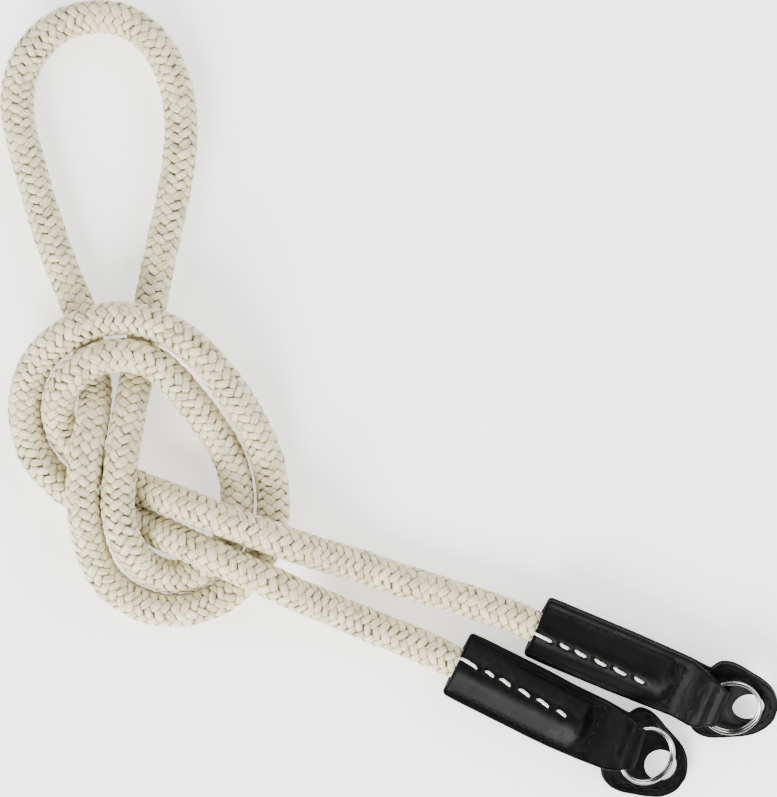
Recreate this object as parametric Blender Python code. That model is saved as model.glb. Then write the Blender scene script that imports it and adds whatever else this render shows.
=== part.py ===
# A silk camera strap: a round braided silk cord, doubled and tied in one overhand knot, lying on a table.
# Each end is gripped by a stitched leather sleeve that carries a split ring over an egg-shaped leather guard.
# Metres, +Z up. The origin is on the table, under the middle of the two leather ends.
from math import acos, atan2, ceil, cos, hypot, radians, sin, sqrt

import bmesh
import bpy
import numpy as np

MM = 0.001
GAP = 0.3 * MM              # clearance between pieces that touch

# Cord
CORD_RADIUS = 4.25 * MM     # the body of the braid, whose leaves stand a little proud of it
LAID_HEIGHT = 4.6 * MM      # centreline of a stretch that lies on the table
SAGITTA = 0.45 * MM         # height of the curve over each straight piece of the tube
BEVEL_STEPS = 4             # a tube of 12 sides
LONGEST_PIECE = 22.0 * MM
BEND_WINDOW = 25            # readings of the curve over which its bend is averaged
GRIPPED = 0.92              # the cord's width inside a sleeve, as a share of its free width
NECKED_OVER = 4.0 * MM      # length over which it narrows, outside the mouth
CORD_INSIDE = 38.0 * MM     # length held by each sleeve

# Leather
LEATHER = 1.2 * MM
FACING = 1.0 * MM           # upper ply of the guard
TUCKED = 0.9 * MM           # the tab's end, skived thin
CHANNEL_RADIUS = GRIPPED * CORD_RADIUS + GAP
CHANNEL_RISE = 0.4 * MM     # the cord's axis above the plane where the two leathers meet
STITCH_LINE = 7.0 * MM      # from the middle to where the leathers start to part round the cord
SEAM = GAP / 2              # from that plane to each leather

# Outline of an end: distance from the sleeve's mouth, and half-width
MOUTH_HALF = 8.9 * MM
MOUTH_CORNER = 1.5 * MM
MOUTH_EASING = 0.4 * MM     # first step of that corner
WIDEST = 8.0 * MM
SLEEVE_HALF = 9.5 * MM
SLEEVE_END_HALF = 8.9 * MM
CHANNEL_END = 38.5 * MM
CROSS_SEAM = 41.0 * MM      # the seam across, behind the cord's end
NECK = 44.0 * MM
NOTCH = 47.3 * MM
NOTCH_HALF = 8.2 * MM
SLEEVE_HALVES = ((MOUTH_CORNER, MOUTH_HALF), (WIDEST, SLEEVE_HALF), (CROSS_SEAM, SLEEVE_END_HALF),
                 (NOTCH, NOTCH_HALF))
GUARD_MIDDLE = 53.6 * MM
GUARD_HALF = 11.2 * MM
GUARD_TIP = 69.2 * MM
HOLE_CENTRE = 61.4 * MM
HOLE_RADIUS = 4.4 * MM
HOLE_SIDES = 32
FACING_START = 45.6 * MM
FACING_INSET = 0.6 * MM     # how much narrower it is inside the neck
DROOP_START = 46.0 * MM     # the guard bends down between these two
DROOP_END = 54.0 * MM

# Split ring: two turns of flat wire
RING_RADIUS = 7.4 * MM      # to the middle of the wire
WIRE_WIDTH = 1.2 * MM
WIRE_HEIGHT = 0.8 * MM
WIRE_CORNER = 0.2 * MM
TURN_GAP = 0.1 * MM
RING_CENTRE = 56.8 * MM
RING_STEP = 10              # degrees along the wire
RISER = 60                  # degrees over which the wire climbs from one turn to the next

# Tab: the sleeve's upper leather, narrowed and folded round the ring
TAB_LIFTS = ((42.1 * MM, 0.25), (43.0 * MM, 0.75), (44.2 * MM, 1.0))   # it climbs onto its tucked end
TAB_BEND = 47.9 * MM        # from here it tilts with the ring
TAB_OVER_WIRE = ((0.0, 0.35), (0.8 * MM, 0.8), (1.8 * MM, 1.0), (4.1 * MM, 1.0))   # then onto the ring
TUCKED_STEP = 50.6 * MM
TUCKED_INSET = 0.5 * MM     # how much narrower it is on each side than the tab above it
FOLD_EDGE = 55.2 * MM
FOLD_STEPS = 6
TAB_HALF = ((NOTCH, NOTCH_HALF), (50.4 * MM, 7.2 * MM), (52.0 * MM, 6.3 * MM), (53.2 * MM, 5.8 * MM),
            (FOLD_EDGE, 5.2 * MM))

# Heights above the plane where the two leathers meet, before the droop and the tilt
BACK_TOP = -SEAM
FACING_TOP = BACK_TOP + GAP + FACING
TUCKED_TOP = FACING_TOP + GAP + TUCKED
WIRE_UNDER = TUCKED_TOP + GAP
WIRE_TOP = WIRE_UNDER + 2 * WIRE_HEIGHT + TURN_GAP
POCKET = (WIRE_TOP + GAP - TUCKED_TOP) / 2      # inner radius of the fold

# The two ends, in metres and degrees: the mouth's centre, its heading clockwise from +X, how far it bends
# beyond the cross seam for each metre, its roll about its own length, the height of the cord's axis in it,
# and how far its guard droops.
ENDS = {
    "a": {"mouth": (-0.02005, 0.01910), "heading": 22.5, "bend": -340.0, "roll": 22.0, "height": 6.75 * MM,
          "droop": 1.0 * MM},
    "b": {"mouth": (-0.04150, 0.00900), "heading": 25.3, "bend": 380.0, "roll": 0.0, "height": 5.55 * MM,
          "droop": 3.8 * MM},
}

# The cord's route between the two mouths, in millimetres: across, along, and lift off the table.
ROUTE = [
    (-32.1, 23.8, 1.0),
    (-49.1, 29.1, 0.0),
    (-72.8, 37.0, 1.7),
    (-80.3, 39.5, 5.3),
    (-87.4, 42.2, 8.8),
    (-94.0, 44.5, 9.5),
    (-107.9, 49.6, 8.4),
    (-116.2, 52.7, 5.3),
    (-132.4, 58.9, 0.0),
    (-139.9, 63.5, 0.0),
    (-146.4, 69.2, 0.7),
    (-149.3, 75.9, 3.1),
    (-142.5, 88.7, 8.9),
    (-130.5, 92.3, 9.5),
    (-123.6, 90.4, 8.9),
    (-115.9, 83.5, 6.1),
    (-110.0, 75.7, 3.1),
    (-104.6, 67.0, 0.5),
    (-101.6, 58.1, 0.0),
    (-101.4, 50.0, 0.0),
    (-103.9, 41.6, 0.0),
    (-118.8, 32.6, 0.7),
    (-125.7, 35.5, 3.1),
    (-129.9, 41.5, 7.2),
    (-132.0, 48.3, 9.4),
    (-132.2, 57.1, 9.5),
    (-131.4, 64.3, 9.2),
    (-129.4, 79.5, 4.1),
    (-128.4, 86.2, 1.2),
    (-125.2, 103.8, 0.0),
    (-122.9, 115.5, 0.0),
    (-118.1, 138.2, 0.0),
    (-118.8, 168.2, 0.0),
    (-130.5, 182.3, 0.0),
    (-148.1, 182.0, 0.0),
    (-155.7, 176.1, 0.0),
    (-160.8, 159.9, 0.0),
    (-158.8, 148.8, 0.0),
    (-148.0, 114.5, 0.0),
    (-144.1, 104.7, 0.0),
    (-140.7, 90.8, 0.0),
    (-139.6, 83.7, 0.6),
    (-139.4, 77.7, 3.6),
    (-140.1, 71.2, 7.6),
    (-141.1, 64.2, 9.3),
    (-141.7, 57.1, 9.5),
    (-141.5, 49.9, 9.1),
    (-140.2, 41.8, 6.7),
    (-137.3, 33.8, 4.3),
    (-130.6, 27.0, 1.9),
    (-120.4, 23.5, 0.9),
    (-110.2, 24.8, 0.1),
    (-93.9, 40.2, 0.0),
    (-92.2, 60.5, 0.3),
    (-100.7, 80.0, 5.1),
    (-119.6, 99.2, 9.5),
    (-133.1, 102.1, 9.6),
    (-146.9, 97.2, 8.9),
    (-155.7, 88.2, 5.3),
    (-156.7, 68.4, 1.9),
    (-149.8, 58.4, 1.3),
    (-142.4, 53.2, 0.2),
    (-133.5, 49.4, 0.0),
    (-125.3, 46.0, 0.5),
    (-107.3, 38.7, 9.1),
    (-98.8, 34.9, 9.5),
    (-91.9, 31.7, 9.1),
    (-84.0, 27.7, 5.1),
    (-76.1, 24.0, 1.5),
    (-64.8, 19.0, 0.0),
    (-52.1, 14.0, 0.3),
]

# How the half-section of a sleeve is spaced when it is flat, as shares of the half-width
SPACING = (0.0, 0.1, 0.2, 0.29, 0.5, 0.72, 0.86, 1.0)


def material(name, colour, roughness, metallic=0.0):
    made = bpy.data.materials.new(name)
    made.use_nodes = True
    shader = made.node_tree.nodes["Principled BSDF"]
    shader.inputs["Base Color"].default_value = (*colour, 1.0)
    shader.inputs["Roughness"].default_value = roughness
    shader.inputs["Metallic"].default_value = metallic
    return made


def smooth_step(x):
    x = min(max(x, 0.0), 1.0)
    return x * x * (3 - 2 * x)


def read_table(table, x):
    return float(np.interp(x, [row[0] for row in table], [row[1] for row in table]))


# Where an end lies

def swung(end, u, v):
    """A point of the straight end, moved so that its middle line is an arc beyond the cross seam."""
    bend = radians(end["bend"])
    if not bend or u <= CROSS_SEAM:
        return u, v
    turned = bend * (u - CROSS_SEAM)
    reach = 1 / bend
    return CROSS_SEAM + (reach + v) * sin(turned), -reach + (reach + v) * cos(turned)


def end_point(end, u, v=0.0, w=0.0):
    """World place of a point of an end; w is measured from the plane where the leathers meet."""
    x, y = swung(end, u, v)
    z = w - CHANNEL_RISE
    roll, heading = radians(end["roll"]), -radians(end["heading"])
    y, z = y * cos(roll) - z * sin(roll), y * sin(roll) + z * cos(roll)
    x, y = x * cos(heading) - y * sin(heading), x * sin(heading) + y * cos(heading)
    return end["mouth"][0] + x, end["mouth"][1] + y, end["height"] + z


def end_empty(key):
    """The frame of an end: +X out of the mouth towards the ring, origin on the cord's axis in the mouth."""
    end = ENDS[key]
    empty = bpy.data.objects.new("end_" + key, None)
    empty.location = (*end["mouth"], end["height"])
    empty.rotation_euler = (radians(end["roll"]), 0.0, -radians(end["heading"]))
    bpy.context.collection.objects.link(empty)
    return empty


# Solids

def add_mesh(name, bm, made_of, parent, sharp_over=40):
    bmesh.ops.recalc_face_normals(bm, faces=bm.faces)
    mesh = bpy.data.meshes.new(name)
    bm.to_mesh(mesh)
    bm.free()
    mesh.shade_smooth()
    mesh.set_sharp_from_angle(angle=radians(sharp_over))
    mesh.materials.append(made_of)
    piece = bpy.data.objects.new(name, mesh)
    piece.parent = parent
    bpy.context.collection.objects.link(piece)
    return piece


def loft(name, loops, made_of, parent):
    """Bridges loops of points. Each loop runs along the leather's outer skin and back along its inner one."""
    bm = bmesh.new()
    rows = [[bm.verts.new(point) for point in loop] for loop in loops]
    count = len(rows[0])
    for near, far in zip(rows, rows[1:]):
        for i in range(count):
            j = (i + 1) % count
            bm.faces.new((near[i], near[j], far[j], far[i]))
    for row in (rows[0], rows[-1]):
        for i in range(count // 2 - 1):
            bm.faces.new((row[i], row[i + 1], row[-2 - i], row[-1 - i]))
    return add_mesh(name, bm, made_of, parent)


def placed(end, skins):
    """One loop of points (u, v, w) of an end, in the frame of its empty."""
    outer, inner = skins
    loop = []
    for u, v, w in list(outer) + list(reversed(inner)):
        x, y = swung(end, u, v)
        loop.append((x, y, w - CHANNEL_RISE))
    return loop


def sleeve_section(u, half, side, bulge):
    """The two skins of one leather at u, side 1 above and -1 below. It lies on its partner out to the stitch
    line, runs straight from there until it touches the cord's channel and follows that over the middle."""
    middle = side * CHANNEL_RISE
    reach = hypot(STITCH_LINE, SEAM - middle)
    touch = atan2(SEAM - middle, STITCH_LINE) + acos(CHANNEL_RADIUS / reach)
    quarter = radians(90)
    halves = []
    for step in (0.0, 1 / 3, 2 / 3, 1.0):
        turn = quarter + (touch - quarter) * step
        halves.append((CHANNEL_RADIUS * cos(turn), middle + CHANNEL_RADIUS * sin(turn)))
    halves.append(((halves[-1][0] + STITCH_LINE) / 2, (halves[-1][1] + SEAM) / 2))
    halves.append((STITCH_LINE, SEAM))
    halves.append(((STITCH_LINE + half) / 2, SEAM))
    halves.append((half, SEAM))
    inner = [(-v, w) for v, w in reversed(halves[1:])] + halves
    inner = np.array([(v, SEAM + (w - SEAM) * bulge) for v, w in inner])
    along = np.gradient(inner, axis=0)
    along[0] = along[-1] = (1.0, 0.0)
    along /= np.linalg.norm(along, axis=1)[:, None]
    outer = inner + LEATHER * np.stack([-along[:, 1], along[:, 0]], axis=1)
    return [(u, v, side * w) for v, w in outer], [(u, v, side * w) for v, w in inner]


def flat_section(half, outer, inner):
    """The two skins of a flat leather of this half-width, given the (u, w) of each."""
    shares = [-s for s in reversed(SPACING[1:])] + list(SPACING)
    return [[(u, s * half, w) for s in shares] for u, w in (outer, inner)]


def sleeve_half(u):
    """Half-width of the sleeve, with its rounded mouth corners."""
    if u < MOUTH_CORNER:
        return MOUTH_HALF - MOUTH_CORNER + sqrt(MOUTH_CORNER ** 2 - (MOUTH_CORNER - u) ** 2)
    return read_table(SLEEVE_HALVES, u)


def guard_half(u):
    """Half-width of the guard: a shoulder that springs from the notch, then half an ellipse."""
    if u < GUARD_MIDDLE:
        share = (GUARD_MIDDLE - u) / (GUARD_MIDDLE - NOTCH)
        return NOTCH_HALF + (GUARD_HALF - NOTCH_HALF) * sqrt(max(0.0, 1 - share ** 2))
    share = (u - GUARD_MIDDLE) / (GUARD_TIP - GUARD_MIDDLE)
    return GUARD_HALF * sqrt(max(0.0, 1 - share ** 2))


def sleeve_stations():
    """Distances from the mouth, each with how far the leathers are parted there."""
    straight = (0.0, MOUTH_EASING, MOUTH_CORNER, WIDEST, CHANNEL_END / 2, 0.75 * CHANNEL_END)
    closing = CROSS_SEAM - CHANNEL_END
    ending = [(CHANNEL_END + closing * s, 1 - smooth_step(s)) for s in (0.0, 0.25, 0.5, 0.75, 1.0)]
    return [(u, 1.0) for u in straight] + ending


def guard_stations():
    shoulder = [NOTCH + (GUARD_MIDDLE - NOTCH) * s for s in (0.03, 0.19, 0.5)]
    front = [sin(radians(angle)) for angle in (0, 18, 34, 48, 60, 70, 78, 85)]
    return shoulder + [GUARD_MIDDLE + (GUARD_TIP - GUARD_MIDDLE) * s for s in front]


def drooped(end, u):
    return end["droop"] * smooth_step((u - DROOP_START) / (DROOP_END - DROOP_START))


def hole_cutter(key, parent):
    """The guard's hole, through both of its plies."""
    bm = bmesh.new()
    bmesh.ops.create_cone(bm, cap_ends=True, segments=HOLE_SIDES, radius1=HOLE_RADIUS, radius2=HOLE_RADIUS,
                          depth=4 * (LEATHER + FACING + ENDS[key]["droop"]))
    cutter = add_mesh("hole_" + key, bm, MATERIALS["leather"], parent)
    cutter.location = (*swung(ENDS[key], HOLE_CENTRE, 0.0), 0.0)
    cutter.hide_render = True
    cutter.display_type = "WIRE"
    return cutter


def cut_hole(piece, cutter):
    cut = piece.modifiers.new("hole", "BOOLEAN")
    cut.operation = "DIFFERENCE"
    cut.object = cutter


def sleeve_back(key, parent, cutter):
    """The lower leather: half of the sleeve, the neck, and the lower ply of the guard."""
    end = ENDS[key]
    loops = [placed(end, sleeve_section(u, sleeve_half(u), -1, bulge)) for u, bulge in sleeve_stations()]
    for u in [NECK, NOTCH] + guard_stations():
        half = sleeve_half(u) if u <= NOTCH else guard_half(u)
        top = BACK_TOP - drooped(end, u)
        loops.append(placed(end, flat_section(half, (u, top - LEATHER), (u, top))))
    cut_hole(loft("sleeve_back_" + key, loops, MATERIALS["leather"], parent), cutter)


def guard_facing(key, parent, cutter):
    """The upper ply of the guard, whose start is held between the sleeve's leathers."""
    end = ENDS[key]
    loops = []
    for u in [FACING_START, NOTCH] + guard_stations():
        half = NOTCH_HALF - FACING_INSET if u < NOTCH else guard_half(u)
        top = FACING_TOP - drooped(end, u)
        loops.append(placed(end, flat_section(half, (u, top), (u, top - FACING))))
    cut_hole(loft("guard_facing_" + key, loops, MATERIALS["leather"], parent), cutter)


def ring_tilt(end):
    """The ring's wire lies on the tab's tucked end and, across the ring, on the guard."""
    rest = FACING_TOP - end["droop"] + GAP
    return atan2(WIRE_UNDER - rest, RING_CENTRE + RING_RADIUS - TAB_BEND)


def tilted(end, u, w):
    """A point of the tab or the ring, turned down about the tab's bend."""
    tilt = ring_tilt(end)
    du, dw = u - TAB_BEND, w - TUCKED_TOP
    if du <= 0:
        return u, w
    return TAB_BEND + du * cos(tilt) + dw * sin(tilt), TUCKED_TOP - du * sin(tilt) + dw * cos(tilt)


def tab_sections():
    """The (u, w) of the tab's two skins, from the cross seam over the wire, round the fold and back."""
    low, high = TUCKED_TOP + GAP, WIRE_TOP + GAP
    rows = [(u, SEAM + (low - SEAM) * share) for u, share in (*TAB_LIFTS, (NOTCH, 1.0))]
    rows += [(TAB_BEND + u, low + (high - low) * share) for u, share in TAB_OVER_WIRE]
    sections = [((u, inner + LEATHER), (u, inner)) for u, inner in rows]
    turn_centre = FOLD_EDGE - POCKET - (LEATHER + TUCKED) / 2
    for i in range(FOLD_STEPS + 1):
        turn = radians(90 - 180 * i / FOLD_STEPS)
        outer = POCKET + LEATHER + (TUCKED - LEATHER) * i / FOLD_STEPS
        sections.append([(turn_centre + reach * cos(turn), TUCKED_TOP + POCKET + reach * sin(turn))
                         for reach in (outer, POCKET)])
    tucked = (TUCKED_STEP, TAB_BEND, NOTCH, NECK)
    return sections + [((u, TUCKED_TOP - TUCKED), (u, TUCKED_TOP)) for u in tucked]


def tab_half(u):
    return sleeve_half(u) if u <= NOTCH else read_table(TAB_HALF, u)


def sleeve_top(key, parent):
    """The upper leather: half of the sleeve, then the tab that holds the ring."""
    end = ENDS[key]
    loops = [placed(end, sleeve_section(u, sleeve_half(u), 1, bulge)) for u, bulge in sleeve_stations()]
    for outer, inner in tab_sections():
        half = tab_half(inner[0]) - (TUCKED_INSET if outer[1] < inner[1] else 0.0)
        loops.append(placed(end, flat_section(half, tilted(end, *outer), tilted(end, *inner))))
    loft("sleeve_top_" + key, loops, MATERIALS["leather"], parent)


def split_ring(key, parent):
    """Two turns of flat wire on each other. The wire climbs from one to the other inside the tab's fold."""
    end = ENDS[key]
    pitch = WIRE_HEIGHT + TURN_GAP
    start = 180 + RISER / 2
    climb = start + 360 - RISER
    half_width, half_height = WIRE_WIDTH / 2, WIRE_HEIGHT / 2
    corner = WIRE_CORNER
    section = [(half_width, half_height - corner), (half_width - corner, half_height),
               (corner - half_width, half_height), (-half_width, half_height - corner)]
    section += [(-x, -z) for x, z in section]
    bm = bmesh.new()
    rows = []
    for k in range((720 - RISER) // RING_STEP + 1):
        turn = start + k * RING_STEP
        lift = pitch * (smooth_step((turn - climb) / RISER) - 0.5)
        reach = radians(turn)
        rows.append([bm.verts.new(((RING_RADIUS + x) * cos(reach), (RING_RADIUS + x) * sin(reach), z + lift))
                     for x, z in section])
    for near, far in zip(rows, rows[1:]):
        for i in range(len(near)):
            j = (i + 1) % len(near)
            bm.faces.new((near[i], near[j], far[j], far[i]))
    bm.faces.new(rows[0])
    bm.faces.new(rows[-1])
    ring = add_mesh("split_ring_" + key, bm, MATERIALS["ring"], parent, sharp_over=30)
    u, w = tilted(end, RING_CENTRE, (WIRE_UNDER + WIRE_TOP) / 2)
    x, y = swung(end, u, 0.0)
    ring.location = (x, y, w - CHANNEL_RISE)
    ring.rotation_euler = (0.0, ring_tilt(end), -radians(end["bend"]) * (u - CROSS_SEAM))


# Cord

def smooth_curve(points, step=0.25 * MM):
    """A natural cubic spline through the points, read every step."""
    points = np.array(points)
    at = np.concatenate([[0.0], np.cumsum(np.linalg.norm(np.diff(points, axis=0), axis=1))])
    gap = np.diff(at)
    count = len(points)
    system = np.eye(count)
    right = np.zeros((count, 3))
    for i in range(1, count - 1):
        system[i, i - 1:i + 2] = gap[i - 1], 2 * (gap[i - 1] + gap[i]), gap[i]
        right[i] = 6 * ((points[i + 1] - points[i]) / gap[i] - (points[i] - points[i - 1]) / gap[i - 1])
    bent = np.linalg.solve(system, right)
    read = np.linspace(0.0, at[-1], int(at[-1] / step) + 2)
    i = np.clip(np.searchsorted(at, read, side="right") - 1, 0, count - 2)
    far = ((read - at[i]) / gap[i])[:, None]
    near = 1 - far
    line = near * points[i] + far * points[i + 1]
    return line + ((near ** 3 - near) * bent[i] + (far ** 3 - far) * bent[i + 1]) * (gap[i] ** 2)[:, None] / 6


def cord_line():
    """The cord's whole centreline, from its end inside sleeve a to its end inside sleeve b."""
    held = (CORD_INSIDE, 2 / 3 * CORD_INSIDE, CORD_INSIDE / 3, 0.0)
    points = [end_point(ENDS["a"], u, 0.0, CHANNEL_RISE) for u in held]
    points += [(x * MM, y * MM, LAID_HEIGHT + lift * MM) for x, y, lift in ROUTE]
    points += [end_point(ENDS["b"], u, 0.0, CHANNEL_RISE) for u in reversed(held)]
    line = smooth_curve(points)
    line[:, 2] = np.maximum(line[:, 2], LAID_HEIGHT)
    return line


def tube_points(line):
    """Points for straight pieces along the line, shorter where it bends more. In a bend they stand outside
    the line by as much as the middles of the pieces lie inside it."""
    pieces = np.linalg.norm(np.diff(line, axis=0), axis=1)
    along = np.concatenate([[0.0], np.cumsum(pieces)])
    heading = np.gradient(line, along, axis=0)
    bend = np.gradient(heading, along, axis=0)
    around = np.ones(BEND_WINDOW) / BEND_WINDOW
    bend = np.stack([np.convolve(np.pad(bend[:, k], BEND_WINDOW // 2, mode="edge"), around, mode="valid")
                     for k in range(3)], axis=1)
    bending = np.maximum(np.linalg.norm(bend, axis=1), 8 * SAGITTA / LONGEST_PIECE ** 2)
    piece = np.sqrt(8 * SAGITTA / bending)
    count = np.concatenate([[0.0], np.cumsum(pieces / ((piece[1:] + piece[:-1]) / 2))])
    at = np.interp(np.linspace(0.0, count[-1], ceil(count[-1]) + 1), count, along)
    necks = [n for mouth in (CORD_INSIDE, CORD_INSIDE + NECKED_OVER) for n in (mouth, along[-1] - mouth)]
    clear = [min(abs(place - n) for n in necks) > NECKED_OVER / 2 for place in at]
    at = np.sort(np.concatenate([at[clear], necks]))
    free = np.clip((np.minimum(along, along[-1] - along) - CORD_INSIDE) / NECKED_OVER, 0.0, 1.0)
    line = line - bend * (free * piece ** 2 / 16)[:, None]
    line[:, 2] = np.maximum(line[:, 2], CORD_RADIUS + 0.1 * MM)
    points = np.stack([np.interp(at, along, line[:, k]) for k in range(3)], axis=1)
    return points, GRIPPED + (1 - GRIPPED) * np.interp(at, along, free)


def silk_cord():
    curve = bpy.data.curves.new("silk_cord", "CURVE")
    curve.dimensions = "3D"
    curve.bevel_depth = CORD_RADIUS
    curve.bevel_resolution = BEVEL_STEPS
    curve.use_fill_caps = True
    points, widths = tube_points(cord_line())
    spline = curve.splines.new("POLY")
    spline.points.add(len(points) - 1)
    for place, point, width in zip(spline.points, points, widths):
        place.co = (*point, 1.0)
        place.radius = width
    curve.materials.append(MATERIALS["silk"])
    bpy.context.collection.objects.link(bpy.data.objects.new("silk_cord", curve))


for old in list(bpy.data.objects):
    bpy.data.objects.remove(old, do_unlink=True)

MATERIALS = {
    "silk": material("silk", (0.72, 0.68, 0.58), 0.6),
    "leather": material("black leather", (0.012, 0.012, 0.013), 0.42),
    "ring": material("nickel ring", (0.75, 0.74, 0.71), 0.2, metallic=1.0),
}

silk_cord()
for key in ENDS:
    frame = end_empty(key)
    cutter = hole_cutter(key, frame)
    sleeve_back(key, frame, cutter)
    guard_facing(key, frame, cutter)
    sleeve_top(key, frame)
    split_ring(key, frame)
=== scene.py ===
# Silk camera strap: a round braided cord, doubled and tied in one overhand knot, with a leather sleeve,
# a guard and a split ring at each end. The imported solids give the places, what shows is made here.
from functools import partial
from math import acos, atan2, cos, hypot, pi, radians, sin

import bpy
import numpy as np
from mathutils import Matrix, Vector
from mathutils.geometry import delaunay_2d_cdt


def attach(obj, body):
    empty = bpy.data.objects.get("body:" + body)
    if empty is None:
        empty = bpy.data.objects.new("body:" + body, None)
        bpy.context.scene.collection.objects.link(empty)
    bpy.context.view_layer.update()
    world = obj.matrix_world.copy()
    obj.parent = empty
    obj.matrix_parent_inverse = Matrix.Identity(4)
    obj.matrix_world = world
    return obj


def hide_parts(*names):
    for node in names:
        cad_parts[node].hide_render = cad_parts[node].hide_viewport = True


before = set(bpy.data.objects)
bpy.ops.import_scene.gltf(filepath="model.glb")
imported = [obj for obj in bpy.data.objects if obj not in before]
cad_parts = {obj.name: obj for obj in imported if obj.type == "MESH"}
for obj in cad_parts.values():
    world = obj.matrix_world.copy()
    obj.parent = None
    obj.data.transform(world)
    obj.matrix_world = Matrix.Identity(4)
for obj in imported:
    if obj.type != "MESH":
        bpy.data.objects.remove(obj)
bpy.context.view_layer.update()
mm = 0.001
print("loaded", len(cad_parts), "nodes")

# The camera hangs straight above the middle of the photograph. The floor is a pale table.
studio = {
    "camera": (-0.0603, 0.0807, 0.6037),
    "lens": 100.0,
    "sensor": 36.0,
    "floorTone": (0.93, 0.93, 0.93),
    "floorGlow": 0.9,
    "ambient": 0.16,
    "aim": (-0.06, 0.08, 0.0),
    # name, place, size in metres, power in watts, colour
    "lights": (
        ("key softbox", (-0.62, -0.85, 0.62), 0.8, 52.0, (1.0, 0.985, 0.955)),
        ("fill softbox", (0.80, 0.85, 0.75), 1.0, 27.0, (0.97, 0.985, 1.0)),
        ("left softbox", (-1.0, 0.45, 0.70), 0.9, 14.0, (1.0, 0.995, 0.98)),
        ("right softbox", (0.95, -0.55, 0.70), 0.9, 16.0, (1.0, 1.0, 1.0)),
    ),
}


def addObject(name, data):
    made = bpy.data.objects.new(name, data)
    bpy.context.collection.objects.link(made)
    return made


cameraData = bpy.data.cameras.new("camera")
cameraData.lens = studio["lens"]
cameraData.sensor_width = studio["sensor"]
cameraData.clip_start = 0.01
camera = addObject("camera", cameraData)
camera.location = studio["camera"]
bpy.context.scene.camera = camera


# Materials

def wire(node, values, feeds={}):
    # sets these sockets of a node and feeds those, by another node's first output or by a socket
    for socket, value in values.items():
        node.inputs[socket].default_value = value
    for socket, source in feeds.items():
        output = source.outputs[0] if isinstance(source, bpy.types.Node) else source
        node.id_data.links.new(output, node.inputs[socket])
    return node


def addNode(tree, kind, values={}, feeds={}, **own):
    made = tree.nodes.new("ShaderNode" + kind)
    for key, value in own.items():
        setattr(made, key, value)
    return wire(made, values, feeds)


def newMaterial(name):
    made = bpy.data.materials.new(name)
    made.use_nodes = True
    return made, partial(addNode, made.node_tree), made.node_tree.nodes["Principled BSDF"]


def ramp(add, stops, feed):
    made = add("ValToRGB", feeds={"Fac": feed})
    elements = made.color_ramp.elements
    for element, (place, colour) in zip(elements, (stops[0], stops[-1])):
        element.position = place
        element.color = (*colour, 1.0)
    for place, colour in stops[1:-1]:
        elements.new(place).color = (*colour, 1.0)
    return made


def silkMaterial(name, tones, fibre, roughness, sheen, filamentContrast=0.5):
    # fine filaments run along each leaf of the braid; a leaf's own tone comes with the mesh, darkened by
    # painted shade at its ends and sides
    made, add, shader = newMaterial(name)
    uv = add("UVMap", uv_map="leaf")
    stretch = add("Mapping", {"Scale": fibre}, {"Vector": uv})
    filaments = add("TexNoise", {"Scale": 1.0, "Detail": 3.0}, {"Vector": stretch})
    tone = add("Attribute", attribute_name="tone")
    mixed = add("Math", {1: filamentContrast}, {0: filaments, 2: tone.outputs["Fac"]},
                operation="MULTIPLY_ADD")
    colours = ramp(add, tones, mixed)
    relief = add("Bump", {"Strength": 0.8, "Distance": 0.1 * mm}, {"Height": filaments})
    wire(shader, {"Roughness": roughness, "Sheen Weight": sheen, "Sheen Roughness": 0.4},
         {"Base Color": colours, "Normal": relief})
    return made


def leatherMaterial(name, tones, roughness, grain=0.16):
    made, add, shader = newMaterial(name)
    place = add("TexCoord").outputs["Object"]
    pores = add("TexVoronoi", {"Scale": 2600.0}, {"Vector": place})
    wrinkles = add("TexNoise", {"Scale": 420.0, "Detail": 6.0, "Distortion": 0.6}, {"Vector": place})
    clouds = add("TexNoise", {"Scale": 90.0, "Detail": 3.0}, {"Vector": place})
    colours = ramp(add, tones, clouds)
    # painted sheen comes with the mesh and shows through the grain: a grey mixed into the black where
    # highlights fall
    rubbed = add("Attribute", attribute_name="rubbed")
    patches = add("MapRange", {"From Min": 0.28, "From Max": 0.72}, {"Value": wrinkles})
    amount = add("Math", {}, {0: rubbed.outputs["Fac"], 1: patches}, operation="MULTIPLY", use_clamp=True)
    # painted sheen: this grey stands in for highlights on the black leather
    sheenGrey = add("Mix", {"B": (0.030, 0.028, 0.031, 1.0)}, {"Factor": amount, "A": colours}, data_type="RGBA")
    levels = {"From Min": 0.3, "From Max": 0.7, "To Min": roughness[0], "To Max": roughness[1]}
    dullness = add("MapRange", levels, {"Value": wrinkles})
    fine = add("Bump", {"Strength": grain, "Distance": 0.05 * mm}, {"Height": pores})
    broad = add("Bump", {"Strength": 0.35, "Distance": 0.12 * mm}, {"Height": wrinkles, "Normal": fine})
    wire(shader, {"Specular IOR Level": 0.075},
         {"Base Color": sheenGrey.outputs["Result"], "Roughness": dullness, "Normal": broad})
    return made


def ringMaterial(name, colour):
    made, add, shader = newMaterial(name)
    place = add("TexCoord").outputs["Object"]
    marks = add("TexNoise", {"Scale": 350.0, "Detail": 4.0}, {"Vector": place})
    dullness = add("MapRange", {"To Min": 0.17, "To Max": 0.23}, {"Value": marks})
    wire(shader, {"Base Color": (*colour, 1.0), "Metallic": 1.0}, {"Roughness": dullness})
    return made


def floorMaterial():
    made, _, shader = newMaterial("pale table")
    wire(shader, {
        "Base Color": (*studio["floorTone"], 1.0), "Roughness": 0.9, "Specular IOR Level": 0.1,
        "Emission Color": (1.0, 1.0, 1.0, 1.0), "Emission Strength": studio["floorGlow"]})
    return made


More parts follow.
